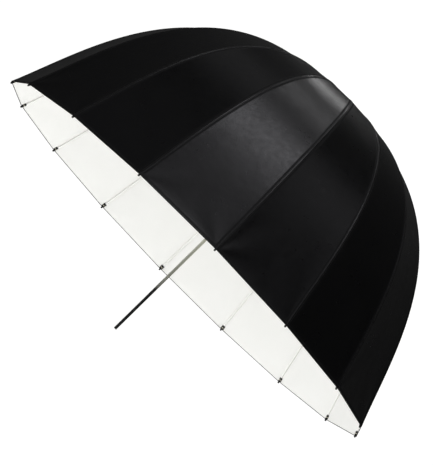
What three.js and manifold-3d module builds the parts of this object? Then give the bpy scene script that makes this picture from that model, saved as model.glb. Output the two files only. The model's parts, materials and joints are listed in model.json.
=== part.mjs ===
// A deep umbrella reflector for studio light: black outside, white inside, sixteen ribs, one straight shaft.
// Millimetres. The shaft runs along +Y from its free end at the origin to the crown, and the dish opens
// towards -Y. +Z is up. Ribs are numbered by their angle round the shaft, from +X towards +Z.
import * as THREE from "three";
import { mergeVertices } from "three/addons/utils/BufferGeometryUtils.js";
import Module from "manifold-3d";

const wasm = await Module();
wasm.setup();

// The dish
const ribCount = 16;
const rimRadius = 625; // from the shaft's axis to the cloth's corners at the rim
const rimStandoff = 247; // the shaft's free end to the plane of the rim
const canopyDepth = 571; // the plane of the rim to the crown
const crownReach = 459; // how far the ribs leave the crown before they bend down
const rimReach = 203; // how far the ribs keep their slope above the rim
const rimSlope = THREE.MathUtils.degToRad(68); // the ribs' slope at the rim, below the crown's plane
const canopyThickness = 1.2;
const canopyGap = 0.3; // between neighbouring strips of the cover
const canopyRows = 12; // of flat facets, from the crown to the rim
const rowsAboveJoint = 3; // one edge between rows falls on the stretchers' joints

// Clearances
const fitGap = 0.3; // between pieces that are fixed to each other
const slideGap = 0.3; // all round what slides on the shaft
const eyeGap = 0.4; // between a wire and the eyes that turn on it
const slotGap = 0.3; // each side of an eye in its slot
const cutOver = 1; // how far a cut runs past the piece that it cuts

// The shaft
const shaftRadius = 4;
const shaftWall = 0.8;
const endCapHeight = 4;
const endCapEdge = 0.5; // the broken edge of its outer end
const endPlugLength = 12;
const pinRadius = 1.1;

// The crown and the runner, which hold the ribs and stretchers on wire rings
const pivotRadius = 18;
const wireRadius = 0.7;
const eyeRadius = 2.6;
const collarRadius = 24;
const collarChamfer = 4;
const slotDepth = 4.5; // from the wire's circle in towards the shaft
const crownBelow = 8; // the crown's ring below the wire
const crownAbove = 3.2; // and above it
const neckRadius = 9;
const neckLength = 16;
const patchThickness = 1.6;
const capRadius = 9;
const capHeight = 4;
const capRings = 4; // of facets over its dome
const capStemLength = 12;
const runnerDrop = 144; // from the crown's wire to the runner's wire when the dish is open
const runnerAbove = 6;
const runnerFloor = 5; // the runner's solid floor below its slots
const sleeveRadius = 7;
const sleeveLength = 42;
const gripRadius = 12;
const gripLength = 12;

// The ribs
const ribRadius = 1.75;
const ribEyeThickness = 3.5;
const tipRadius = 2.5;
const tipLength = 14; // the tip's cover along the rib
const tipProud = 4; // how far the tip stands out past the hem
const jointReach = 235; // along the rib from its pivot to the stretcher's joint
const lugDrop = 8; // from the rib's centre line to that joint
const lugWidth = 4;
const lugEndRadius = 3;

// The stretchers
const stretcherRadius = 1.5;
const stretcherEyeThickness = 3;
const forkLength = 24;
const earThickness = 1.2;
const bridgeLength = 5;
const rivetRadius = 2;
const rivetHeight = 1;

// The catch that holds the runner up
const catchThickness = 1.2;
const catchLength = 24;
const catchNoseLength = 14;
const catchProud = 2.4; // how far it stands out of the shaft
const catchTravel = 2.4;
const catchAngle = Math.PI / ribCount; // between two ribs
const catchEndGap = 1;

// Derived places along the shaft
const crownTop = rimStandoff + canopyDepth;
const ribInset = canopyThickness + tipRadius + fitGap; // the cloth's outside to the rib's centre line
const crownWireY = crownTop - ribInset;
const runnerWireY = crownWireY - runnerDrop;
const boreRadius = shaftRadius + slideGap;
const shaftBore = shaftRadius - shaftWall;
const crownRingTop = crownWireY + crownAbove;
const crownRingBottom = crownWireY - crownBelow;
const runnerTop = runnerWireY + runnerAbove;
const runnerSlotFloor = runnerWireY - eyeRadius - fitGap;
const runnerBottom = runnerSlotFloor - runnerFloor;
const sleeveTop = runnerBottom - fitGap;
const sleeveBottom = sleeveTop - sleeveLength;
const stopPinY = runnerTop + pinRadius + fitGap;
const crownPinY = crownRingBottom - neckLength / 2;
const catchY = sleeveBottom - fitGap - catchNoseLength / 2;
const clothStart = (collarRadius + fitGap) / Math.cos(Math.PI / ribCount); // clear of the crown's ring

const paint = {
  blackCloth: [0x1c1c1e, 0.7, 0],
  fibreglass: [0xe8e6de, 0.5, 0],
  steel: [0x8c8c88, 0.25, 1],
  blackPlastic: [0x131313, 0.45, 0],
  wire: [0xb8b8b4, 0.3, 1],
};

// A solid that manifold-3d can cut, from a closed three.js geometry.
function solid(geometry) {
  const bare = geometry.clone();
  bare.deleteAttribute("normal");
  bare.deleteAttribute("uv");
  const merged = mergeVertices(bare, 1e-3);
  const mesh = new wasm.Mesh({
    numProp: 3,
    vertProperties: merged.attributes.position.array,
    triVerts: new Uint32Array(merged.index.array),
  });
  return new wasm.Manifold(mesh);
}

// The solid's surface as a three.js geometry.
function surface(body) {
  const mesh = body.getMesh();
  const geometry = new THREE.BufferGeometry();
  geometry.setAttribute("position", new THREE.BufferAttribute(mesh.vertProperties, 3));
  geometry.setIndex(new THREE.BufferAttribute(mesh.triVerts, 1));
  geometry.computeVertexNormals();
  return geometry;
}

// A round piece about the shaft's axis, from its outline as [radius, y] pairs, bottom first.
function turned(outline, sides = 24) {
  const points = outline.map(([r, y]) => new THREE.Vector2(r, y));
  return solid(new THREE.LatheGeometry(points, sides));
}

// A plain ring between two radii and two heights.
function ring(inner, outer, low, high, sides = 24) {
  return turned([[inner, low], [outer, low], [outer, high], [inner, high], [inner, low]], sides);
}

// A round bar between two heights of its own axis Y, or turned to lie along X or Z.
function bar(radius, low, high, axis = "y", sides = 8) {
  const geometry = new THREE.CylinderGeometry(radius, radius, high - low, sides);
  geometry.translate(0, (low + high) / 2, 0);
  if (axis === "x") geometry.rotateZ(-Math.PI / 2);
  if (axis === "z") geometry.rotateX(Math.PI / 2);
  return solid(geometry);
}

function block(x0, x1, y0, y1, z0, z1) {
  const geometry = new THREE.BoxGeometry(x1 - x0, y1 - y0, z1 - z0);
  geometry.translate((x0 + x1) / 2, (y0 + y1) / 2, (z0 + z1) / 2);
  return solid(geometry);
}

// A flat plate with its middle in the plane of X and Y, from a THREE.Shape.
function plate(shape, thickness) {
  const settings = { depth: thickness, bevelEnabled: false, curveSegments: 3 };
  const geometry = new THREE.ExtrudeGeometry(shape, settings);
  geometry.translate(0, 0, -thickness / 2);
  return solid(geometry);
}

// A bar's flat outline with one round end, from x = 0 to the round end's centre at x = length.
function roundEnded(length, halfWidth) {
  const shape = new THREE.Shape();
  shape.moveTo(0, -halfWidth);
  shape.lineTo(length, -halfWidth);
  shape.absarc(length, 0, halfWidth, -Math.PI / 2, Math.PI / 2, false);
  shape.lineTo(0, halfWidth);
  shape.closePath();
  return shape;
}

// The sixteen positions round the shaft.
const ribAngles = Array.from({ length: ribCount }, (_, n) => (n * 2 * Math.PI) / ribCount);

// The same solid turned to every rib's position and joined.
function atEveryRib(body) {
  const copies = ribAngles.map((angle) => body.rotate([0, -THREE.MathUtils.radToDeg(angle), 0]));
  return copies.reduce((all, next) => all.add(next));
}

// Each rib's centre line, in the plane of X and Y: level at the crown's wire, steep at the rim.
const outOfRim = new THREE.Vector3(Math.sin(rimSlope), Math.cos(rimSlope), 0);
const downRim = new THREE.Vector3(Math.cos(rimSlope), -Math.sin(rimSlope), 0);
const ribStart = new THREE.Vector3(pivotRadius, crownWireY, 0);
const ribEnd = new THREE.Vector3(rimRadius, rimStandoff, 0).addScaledVector(outOfRim, -ribInset);
const ribCurve = new THREE.CubicBezierCurve3(
  ribStart,
  new THREE.Vector3(ribStart.x + crownReach, ribStart.y, 0),
  ribEnd.clone().addScaledVector(downRim, -rimReach),
  ribEnd,
);
ribCurve.arcLengthDivisions = 2000;
const ribLength = ribCurve.getLength();

// The stretch of the rib's line that the cloth covers, from the crown's ring to the rim. The joint is on a row.
const jointShare = jointReach / ribLength;
const clothShare = (clothStart - pivotRadius) / ribLength;
const jointRowShare = rowsAboveJoint / canopyRows;
class CoveredLine extends THREE.Curve {
  shareAt(u) {
    if (u < jointRowShare) return clothShare + (u / jointRowShare) * (jointShare - clothShare);
    return jointShare + ((u - jointRowShare) / (1 - jointRowShare)) * (1 - jointShare);
  }
  getPointAt(u) {
    return ribCurve.getPointAt(this.shareAt(u));
  }
  getTangentAt(u) {
    return ribCurve.getTangentAt(this.shareAt(u));
  }
}
const coveredLine = new CoveredLine();

// The stretcher's joint on the rib, and its own line from the runner's wire.
const jointPoint = ribCurve.getPointAt(jointShare);
const jointTangent = ribCurve.getTangentAt(jointShare);
const jointTurn = Math.atan2(jointTangent.y, jointTangent.x);
const jointInward = new THREE.Vector3(jointTangent.y, -jointTangent.x, 0);
const jointCentre = jointPoint.clone().addScaledVector(jointInward, lugDrop);
const runnerPivot = new THREE.Vector3(pivotRadius, runnerWireY, 0);
const stretcherLine = jointCentre.clone().sub(runnerPivot);
const stretcherLength = stretcherLine.length();
const stretcherTurn = Math.atan2(stretcherLine.y, stretcherLine.x);

// The straight steel tube, with holes for the two pins and a slot for the catch.
function shaftTube() {
  const low = endCapHeight + fitGap;
  const high = crownRingTop - fitGap;
  const tube = ring(shaftBore, shaftRadius, low, high);
  const reach = shaftRadius + cutOver;
  const pinHole = bar(pinRadius + fitGap, -reach, reach, "x");
  const crownHole = pinHole.translate([0, crownPinY, 0]);
  const stopHole = pinHole.translate([0, stopPinY, 0]);
  const slotHalf = catchThickness / 2 + slotGap;
  const slotEnd = catchNoseLength / 2 + catchEndGap;
  const slot = block(0, reach, catchY - slotEnd, catchY + slotEnd, -slotHalf, slotHalf);
  const catchSlot = slot.rotate([0, -THREE.MathUtils.radToDeg(catchAngle), 0]);
  return tube.subtract(crownHole).subtract(stopHole).subtract(catchSlot);
}

// The plastic plug that closes the shaft's free end.
function shaftEndCap() {
  const plugRadius = shaftBore - fitGap;
  return turned([
    [0, 0],
    [shaftRadius - endCapEdge, 0],
    [shaftRadius, endCapEdge],
    [shaftRadius, endCapHeight],
    [plugRadius, endCapHeight],
    [plugRadius, endCapHeight + endPlugLength],
    [0, endCapHeight + endPlugLength],
  ]);
}

// The slotted ring at the crown. The ribs' eyes sit in its slots, on a wire in the groove below.
function crownNotch() {
  const slotHalf = ribEyeThickness / 2 + slotGap;
  const body = turned([
    [boreRadius, crownRingBottom - neckLength],
    [neckRadius, crownRingBottom - neckLength],
    [neckRadius, crownRingBottom],
    [collarRadius, crownRingBottom],
    [collarRadius, crownRingTop - collarChamfer],
    [collarRadius - collarChamfer, crownRingTop],
    [boreRadius, crownRingTop],
    [boreRadius, crownRingBottom - neckLength],
  ], 32);
  const reach = wireRadius + fitGap;
  const slotLow = crownRingBottom - cutOver;
  const groove = ring(pivotRadius - reach, pivotRadius + reach, slotLow, crownWireY + reach, 32);
  const slotStart = pivotRadius - slotDepth;
  const slotEnd = collarRadius + cutOver;
  const slot = block(slotStart, slotEnd, slotLow, crownRingTop + cutOver, -slotHalf, slotHalf);
  const hole = bar(pinRadius + fitGap, -slotEnd, slotEnd, "x").translate([0, crownPinY, 0]);
  return body.subtract(groove).subtract(atEveryRib(slot)).subtract(hole);
}

// The wire ring that all the eyes of one set of arms turn on.
function pivotWire(height) {
  const geometry = new THREE.TorusGeometry(pivotRadius, wireRadius, 6, 2 * ribCount);
  geometry.rotateX(Math.PI / 2);
  return solid(geometry).translate([0, height, 0]);
}

// The pin that fixes the crown's ring to the shaft.
function crownPin() {
  return bar(pinRadius, -neckRadius, neckRadius, "x").translate([0, crownPinY, 0]);
}

// The round patch that covers the crown's ring and closes the middle of the cloth.
function crownPatch() {
  const low = crownRingTop + fitGap;
  return ring(shaftRadius + fitGap, collarRadius, low, low + patchThickness, 32);
}

// The low round cap that holds the patch down, with its stem in the shaft.
function crownCap() {
  const low = crownRingTop + patchThickness + 2 * fitGap;
  const stemRadius = shaftBore - fitGap;
  const dome = Array.from({ length: capRings }, (_, k) => {
    const turn = (k / capRings) * (Math.PI / 2);
    return [capRadius * Math.cos(turn), low + capHeight * Math.sin(turn)];
  });
  return turned([
    [0, low - capStemLength],
    [stemRadius, low - capStemLength],
    [stemRadius, low],
    ...dome,
    [0, low + capHeight],
  ]);
}

// The runner's slotted ring, which slides on the shaft and carries the stretchers' eyes.
function runnerBody() {
  const slotHalf = stretcherEyeThickness / 2 + slotGap;
  const body = ring(boreRadius, collarRadius, runnerBottom, runnerTop, 32);
  const reach = wireRadius + fitGap;
  const slotTop = runnerTop + cutOver;
  const groove = ring(pivotRadius - reach, pivotRadius + reach, runnerWireY - reach, slotTop, 32);
  const slotStart = pivotRadius - slotDepth;
  const slot = block(slotStart, collarRadius + cutOver, runnerSlotFloor, slotTop, -slotHalf, slotHalf);
  return body.subtract(groove).subtract(atEveryRib(slot));
}

// The sleeve below the runner's ring, with the grip that the hand pulls.
function runnerSleeve() {
  const shoulder = (gripRadius - sleeveRadius) / 2;
  return turned([
    [boreRadius, sleeveBottom],
    [gripRadius - shoulder, sleeveBottom],
    [gripRadius, sleeveBottom + shoulder],
    [gripRadius, sleeveBottom + gripLength - shoulder],
    [sleeveRadius, sleeveBottom + gripLength],
    [sleeveRadius, sleeveTop],
    [boreRadius, sleeveTop],
    [boreRadius, sleeveBottom],
  ]);
}

// The pin through the shaft that stops the runner on its way up.
function stopPin() {
  return bar(pinRadius, -sleeveRadius, sleeveRadius, "x").translate([0, stopPinY, 0]);
}

// The sprung leaf in the shaft's slot. Its nose stands under the sleeve and is pressed in to let it down.
function catchSpring() {
  const inner = -shaftBore + catchTravel + fitGap;
  const shoulder = Math.sqrt(shaftBore ** 2 - catchThickness ** 2) - fitGap;
  const nose = shaftRadius + catchProud;
  const half = catchLength / 2;
  const noseHalf = catchNoseLength / 2;
  const outline = new THREE.Shape([
    new THREE.Vector2(inner, -half),
    new THREE.Vector2(shoulder, -half),
    new THREE.Vector2(shoulder, -noseHalf),
    new THREE.Vector2(nose, noseHalf - catchProud),
    new THREE.Vector2(nose, noseHalf),
    new THREE.Vector2(shoulder, noseHalf),
    new THREE.Vector2(shoulder, half),
    new THREE.Vector2(inner, half),
  ]);
  return plate(outline, catchThickness).translate([0, catchY, 0]);
}

// One fibreglass rib with its eye, the lug that the stretcher joins, and its tip.
function rib() {
  const section = new THREE.Shape();
  section.absarc(0, 0, ribRadius, 0, 2 * Math.PI, false);
  const alongRib = { extrudePath: coveredLine, steps: canopyRows, curveSegments: 3, bevelEnabled: false };
  const rod = solid(new THREE.ExtrudeGeometry(section, alongRib));
  const shankStart = pivotRadius + wireRadius + eyeGap;
  const shankRadius = ribRadius - fitGap;
  const shank = bar(shankRadius, shankStart, clothStart + ribRadius, "x", 6).translate([0, crownWireY, 0]);
  const eyeHalf = ribEyeThickness / 2;
  const eye = bar(eyeRadius, -eyeHalf, eyeHalf, "z").translate([pivotRadius, crownWireY, 0]);
  const hole = bar(wireRadius + eyeGap, -ribEyeThickness, ribEyeThickness, "z");
  const lugTop = tipRadius - fitGap;
  const lugOutline = roundEnded(lugDrop + lugTop, lugEndRadius);
  const lug = plate(lugOutline, lugWidth).translate([-lugTop, 0, 0]);
  const lugSolid = lug.rotate([0, 0, THREE.MathUtils.radToDeg(jointTurn) - 90]);
  const tip = turned([
    [0, -tipLength],
    [tipRadius, -tipLength],
    [tipRadius, tipProud - tipRadius / 2],
    [tipRadius / 2, tipProud],
    [0, tipProud],
  ], 6);
  const alongRim = tip.rotate([0, 0, -THREE.MathUtils.radToDeg(rimSlope) - 90]);
  return rod
    .add(shank)
    .add(eye)
    .subtract(hole.translate([pivotRadius, crownWireY, 0]))
    .add(lugSolid.translate([jointPoint.x, jointPoint.y, 0]))
    .add(alongRim.translate([ribEnd.x, ribEnd.y, 0]));
}

// One stretcher: an eye on the runner's wire, a rod, and a fork that straddles the rib's lug.
function stretcher() {
  const earInner = lugWidth / 2 + slotGap;
  const earOuter = earInner + earThickness;
  const earMiddle = (earInner + earOuter) / 2;
  const bridgeStart = stretcherLength - forkLength - bridgeLength;
  const bridgeEnd = stretcherLength - forkLength;
  const rod = bar(stretcherRadius, wireRadius + eyeGap, bridgeStart + bridgeLength / 2, "x", 6);
  const eye = bar(eyeRadius, -stretcherEyeThickness / 2, stretcherEyeThickness / 2, "z");
  const hole = bar(wireRadius + eyeGap, -stretcherEyeThickness, stretcherEyeThickness, "z");
  const bridge = block(bridgeStart, bridgeEnd, -lugEndRadius, lugEndRadius, -earOuter, earOuter);
  const ear = plate(roundEnded(forkLength + bridgeLength / 2, lugEndRadius), earThickness);
  const rivet = bar(rivetRadius, earMiddle, earOuter + rivetHeight, "z", 6);
  const earStart = bridgeEnd - bridgeLength / 2;
  return rod
    .add(eye)
    .subtract(hole)
    .add(bridge)
    .add(ear.translate([earStart, 0, earMiddle]))
    .add(ear.translate([earStart, 0, -earMiddle]))
    .add(rivet.translate([stretcherLength, 0, 0]))
    .add(rivet.translate([stretcherLength, 0, 0]).rotate([180, 0, 0]))
    .rotate([0, 0, THREE.MathUtils.radToDeg(stretcherTurn)])
    .translate([runnerPivot.x, runnerPivot.y, 0]);
}

// One strip of the cover: the halves of two panels either side of a rib, from crown to rim.
// Across the strip the cloth is straight from the rib to the middle of each panel.
function canopyStrip() {
  const half = Math.PI / ribCount;
  const positions = [];
  const index = [];
  // The strip's three lines at one row: the middle of the panel, the rib, the middle of the next panel.
  const across = (radius, y) => {
    const middle = radius * Math.cos(half);
    const along = middle * Math.cos(half) + (canopyGap / 2) * Math.sin(half);
    const aside = middle * Math.sin(half) - (canopyGap / 2) * Math.cos(half);
    positions.push(along, y, -aside, radius, y, 0, along, y, aside);
  };
  for (let row = 0; row <= canopyRows; row++) {
    const point = coveredLine.getPointAt(row / canopyRows);
    const tangent = coveredLine.getTangentAt(row / canopyRows);
    const outside = ribInset;
    const inside = ribInset - canopyThickness;
    across(point.x - tangent.y * outside, point.y + tangent.x * outside);
    across(point.x - tangent.y * inside, point.y + tangent.x * inside);
  }
  const quad = (a, b, c, d) => index.push(a, b, c, a, c, d);
  for (let row = 0; row < canopyRows; row++) {
    const here = row * 6;
    const next = here + 6;
    for (let column = 0; column < 2; column++) {
      quad(here + column, here + column + 1, next + column + 1, next + column);
      quad(here + 4 + column, here + 3 + column, next + 3 + column, next + 4 + column);
    }
    quad(here + 3, here, next, next + 3);
    quad(here + 2, here + 5, next + 5, next + 2);
  }
  const last = canopyRows * 6;
  for (let column = 0; column < 2; column++) {
    quad(3 + column, 4 + column, 1 + column, column);
    quad(last + column, last + column + 1, last + column + 4, last + column + 3);
  }
  const geometry = new THREE.BufferGeometry();
  geometry.setAttribute("position", new THREE.Float32BufferAttribute(positions, 3));
  geometry.setIndex(index);
  return solid(geometry);
}

const umbrella = new THREE.Group();
umbrella.name = "umbrella_reflector";

function add(name, body, [color, roughness, metalness], angle = 0) {
  const material = new THREE.MeshStandardMaterial({ color, roughness, metalness });
  const mesh = new THREE.Mesh(surface(body), material);
  mesh.name = name;
  mesh.rotation.y = -angle;
  umbrella.add(mesh);
}

add("shaft_tube", shaftTube(), paint.steel);
add("shaft_end_cap", shaftEndCap(), paint.blackPlastic);
add("crown_notch", crownNotch(), paint.blackPlastic);
add("crown_wire", pivotWire(crownWireY), paint.wire);
add("crown_pin", crownPin(), paint.wire);
add("crown_patch", crownPatch(), paint.blackCloth);
add("crown_cap", crownCap(), paint.blackPlastic);
add("runner_body", runnerBody(), paint.blackPlastic);
add("runner_wire", pivotWire(runnerWireY), paint.wire);
add("runner_sleeve", runnerSleeve(), paint.blackPlastic);
add("stop_pin", stopPin(), paint.wire);
add("catch_spring", catchSpring(), paint.steel, catchAngle);

const ribSolid = rib();
const stretcherSolid = stretcher();
const stripSolid = canopyStrip();
ribAngles.forEach((angle, n) => {
  const number = String(n + 1).padStart(2, "0");
  add(`rib_${number}`, ribSolid, paint.fibreglass, angle);
  add(`stretcher_${number}`, stretcherSolid, paint.steel, angle);
  add(`canopy_strip_${number}`, stripSolid, paint.blackCloth, angle);
});

export default umbrella;
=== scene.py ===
import json
from math import atan2, cos, dist, exp, pi, radians, sin, tan

import bmesh
import bpy
import numpy as np
from mathutils import Matrix, Vector

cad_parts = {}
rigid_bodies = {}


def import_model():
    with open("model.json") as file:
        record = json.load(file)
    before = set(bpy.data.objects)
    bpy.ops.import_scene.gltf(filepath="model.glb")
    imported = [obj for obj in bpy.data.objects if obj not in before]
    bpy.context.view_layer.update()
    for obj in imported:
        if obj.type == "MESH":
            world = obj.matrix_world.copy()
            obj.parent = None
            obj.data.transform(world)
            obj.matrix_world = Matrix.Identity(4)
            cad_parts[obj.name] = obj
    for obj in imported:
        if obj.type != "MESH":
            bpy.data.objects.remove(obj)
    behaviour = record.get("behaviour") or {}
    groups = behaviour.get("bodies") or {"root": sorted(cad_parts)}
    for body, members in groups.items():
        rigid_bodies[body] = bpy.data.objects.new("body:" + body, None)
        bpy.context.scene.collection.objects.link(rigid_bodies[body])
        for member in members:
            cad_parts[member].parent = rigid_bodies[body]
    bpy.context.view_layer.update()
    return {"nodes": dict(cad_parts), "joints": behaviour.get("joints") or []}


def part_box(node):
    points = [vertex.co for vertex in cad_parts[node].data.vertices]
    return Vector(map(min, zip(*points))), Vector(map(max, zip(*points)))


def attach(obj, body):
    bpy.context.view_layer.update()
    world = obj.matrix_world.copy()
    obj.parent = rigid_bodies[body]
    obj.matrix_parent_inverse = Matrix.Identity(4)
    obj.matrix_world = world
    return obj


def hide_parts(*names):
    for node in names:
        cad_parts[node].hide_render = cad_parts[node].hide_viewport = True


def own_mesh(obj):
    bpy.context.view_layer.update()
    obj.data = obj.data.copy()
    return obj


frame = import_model()

# ---- Camera, floor and lights
# The umbrella lies on its side, held by its shaft, over a plain pale floor. The camera stands a little
# above it on the crown's side, rolled so that the shaft runs from the lower left to the upper right.
camera_place = Vector((4.931, -0.337, 2.336))
camera_right = Vector((0.3815, 0.7080, -0.5942))
camera_up = Vector((-0.2269, 0.6949, 0.6823))
camera_lens = 168.555
scene = bpy.context.scene


def placed(name, data):
    """A new object in the scene."""
    made = bpy.data.objects.new(name, data)
    scene.collection.objects.link(made)
    return made


camera = placed("camera", bpy.data.cameras.new("camera"))
camera.data.lens = camera_lens
camera.data.sensor_width = 36
turn = Matrix((camera_right, camera_up, camera_right.cross(camera_up))).transposed()
camera.matrix_world = Matrix.Translation(camera_place) @ turn.to_4x4()
scene.camera = camera
scene.view_settings.view_transform = "Standard"


def add_node(tree, kind, settings, sockets):
    """A new node with its settings. A socket takes a steady value or a link from another socket."""
    made = tree.nodes.new(kind)
    for key, value in (settings or {}).items():
        setattr(made, key, value)
    for key, value in sockets:
        socket = made.inputs[key if isinstance(key, int) else key.replace("_", " ")]
        if isinstance(value, bpy.types.NodeSocket):
            tree.links.new(value, socket)
        elif value is not None:
            socket.default_value = value
    return made


class Value:
    """A socket of a finish's nodes. Python's own arithmetic on it adds the Math nodes."""

    def __init__(self, finish, socket):
        self.finish = finish
        self.socket = socket

    def math(self, operation, *values):
        return self.finish.node("ShaderNodeMath", {"operation": operation}, *values)

    def __add__(self, other):
        return self.math("ADD", self, other)

    def __mul__(self, other):
        return self.math("MULTIPLY", self, other)


class Finish:
    """A material made in nodes, from its shader's steady values and the values that vary."""

    def __init__(self, name, slot=None, **steady):
        self.slot = slot
        self.material = bpy.data.materials.new(name)
        self.material.use_nodes = True
        self.tree = self.material.node_tree
        self.shader = self.tree.nodes["Principled BSDF"]
        for key, value in steady.items():
            self.shader.inputs[key.replace("_", " ")].default_value = value

    def node(self, kind, settings=None, *values, output=0, **named):
        sockets = [(key, value.socket if isinstance(value, Value) else value)
                   for key, value in (*enumerate(values), *named.items())]
        return Value(self, add_node(self.tree, kind, settings, sockets).outputs[output])

    def place(self):
        """Where a point is on the object, in metres."""
        return self.node("ShaderNodeTexCoord", output="Object")

    def cloth_map(self):
        """The two directions of a piece's own map, in metres of cloth."""
        uv = self.node("ShaderNodeUVMap", {"uv_map": "cloth"})
        parts = self.node("ShaderNodeSeparateXYZ", None, uv)
        return parts, Value(self, parts.socket.node.outputs["Y"])

    def noise(self, scale, detail=2.0, rough=0.5, place=None):
        return self.node("ShaderNodeTexNoise", Vector=place or self.place(), Scale=scale, Detail=detail,
                         Roughness=rough)

    def mix(self, share, low, high):
        """A colour between two colours. Those are the node's seventh and eighth sockets."""
        low, high = ((*each, 1) if isinstance(each, tuple) else each for each in (low, high))
        return self.node("ShaderNodeMix", {"data_type": "RGBA"}, share, *[None] * 5, low, high, output=2)

    def within(self, value, low, high, out_low=0.0, out_high=1.0):
        """A value spread from one range to another, and held inside it."""
        return self.node("ShaderNodeMapRange", None, value, low, high, out_low, out_high)

    def set(self, **inputs):
        for key, value in inputs.items():
            self.tree.links.new(value.socket, self.shader.inputs[key.replace("_", " ")])
        return self

    def bump(self, height, distance, strength=1.0):
        """Fine relief, with its height in metres."""
        relief = self.node("ShaderNodeBump", Strength=strength, Distance=distance, Height=height)
        return self.set(Normal=relief)

    def cloudy(self, scale, detail, dark, pale, smooth, rough):
        """A cloud takes the colour from dark to pale and the roughness from smooth to rough."""
        cloud = self.noise(scale, detail)
        return self.set(Base_Color=self.mix(cloud, dark, pale),
                        Roughness=self.within(cloud, 0.3, 0.7, smooth, rough))

    def weave(self, u, v):
        """The waves of warp and weft."""
        thread_pitch = 0.0006
        turns = 2 * pi / thread_pitch
        return u.math("SINE", u * turns) * v.math("SINE", v * turns)


floor_drop = 1.6
floor_half = 30.0
floor_mesh = bpy.data.meshes.new("floor")
corners = [(x * floor_half, y * floor_half, -floor_drop) for x, y in ((-1, -1), (1, -1), (1, 1), (-1, 1))]
floor_mesh.from_pydata(corners, [], [(0, 1, 2, 3)])
floor = placed("floor", floor_mesh)
floor_finish = Finish("pale_floor", Specular_IOR_Level=0.1, Roughness=0.9)
floor_tone = floor_finish.noise(1.3)
floor_finish.set(Base_Color=floor_finish.mix(floor_tone, (0.93, 0.93, 0.925), (0.95, 0.95, 0.945)))
floor_mesh.materials.append(floor_finish.material)
floor.visible_glossy = False

world = bpy.data.worlds.new("studio")
scene.world = world
world.use_nodes = True
room = world.node_tree.nodes["Background"]
room.inputs["Color"].default_value = (1.0, 1.0, 1.0, 1)
seen_ray = world.node_tree.nodes.new("ShaderNodeLightPath")
room_light = world.node_tree.nodes.new("ShaderNodeMapRange")
room_light.inputs["To Min"].default_value = 0.05
room_light.inputs["To Max"].default_value = 1.05
world.node_tree.links.new(seen_ray.outputs["Is Camera Ray"], room_light.inputs["Value"])
world.node_tree.links.new(room_light.outputs[0], room.inputs["Strength"])

umbrella_middle = (0, 0.5, 0)
mouth_middle = (0, 0.4, 0.2)
for name, place, target, width, height, power in (
    ("softbox_crown_side", (1.18, 3.06, 1.28), umbrella_middle, 0.9, 0.9, 16.3),
    ("softbox_crown_front", (-0.3, 3.58, 0.40), umbrella_middle, 1.0, 0.8, 5.4),
    ("softbox_crown_far", (-1.6, 3.1, -0.6), umbrella_middle, 0.5, 0.5, 3.3),
    ("softbox_side", (2.3, 2.5, 0.6), umbrella_middle, 1.0, 1.0, 5.6),
    ("softbox_side_high", (1.85, 2.29, 1.73), umbrella_middle, 0.9, 0.9, 2.25),
    ("softbox_low", (1.76, 3.12, -0.42), umbrella_middle, 1.1, 1.1, 2.8),
    ("softbox_high", (-0.96, 3.19, 1.44), umbrella_middle, 1.1, 1.1, 1.2),
    ("softbox_top", (0, 1.78, 2.94), umbrella_middle, 1.7, 1.7, 1.2),
    ("fill_mouth_side", (1.5, -3.2, -0.5), mouth_middle, 1.9, 1.9, 46),
):
    softbox = placed(name, bpy.data.lights.new(name, "AREA"))
    softbox.data.shape = "RECTANGLE"
    softbox.data.size = width
    softbox.data.size_y = height
    softbox.data.energy = power
    softbox.location = place
    softbox.rotation_mode = "QUATERNION"
    softbox.rotation_quaternion = (Vector(target) - Vector(place)).to_track_quat("-Z", "Y")
    softbox.visible_camera = False
ceiling = placed("ceiling", bpy.data.lights.new("ceiling", "SUN"))
ceiling.data.energy = 3.3
ceiling.data.angle = radians(120)
ceiling.visible_glossy = False

# ---- Shaft
# A straight thin steel tube. Its free end is coloured dull black as painted reflection, standing for the dark
# room the steel would mirror there, and towards the dish the black gives way to the bare metal that the
# runner slides on.
shaft_low, shaft_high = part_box("shaft_tube")
shaft_radius = shaft_high.x
shaft_wall = 0.0008
bore_radius = shaft_radius - shaft_wall
tube_edge = 0.0002
dark_reflection_end = 0.140
dark_reflection_fade = 0.055


def new_piece(name, mesh, finish, body, *replaced):
    """A finished mesh as a piece that moves with a body and stands for the given nodes."""
    mesh.name = name
    mesh.materials.clear()
    mesh.materials.append(finish.material)
    made = placed(name, mesh)
    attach(made, body)
    if replaced:
        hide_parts(*replaced)
    return made


def smooth_mesh(mesh, angle=35.0):
    """The mesh, smooth but for edges sharper than the given angle."""
    mesh.polygons.foreach_set("use_smooth", [True] * len(mesh.polygons))
    mesh.set_sharp_from_angle(angle=radians(angle))
    return mesh


def mesh_of(points, faces, smooth=30.0):
    """A smooth mesh from its points and faces."""
    mesh = bpy.data.meshes.new("mesh")
    mesh.from_pydata([tuple(p) for p in points], [], [tuple(f) for f in faces])
    mesh.validate()
    return smooth_mesh(mesh, smooth)


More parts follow.
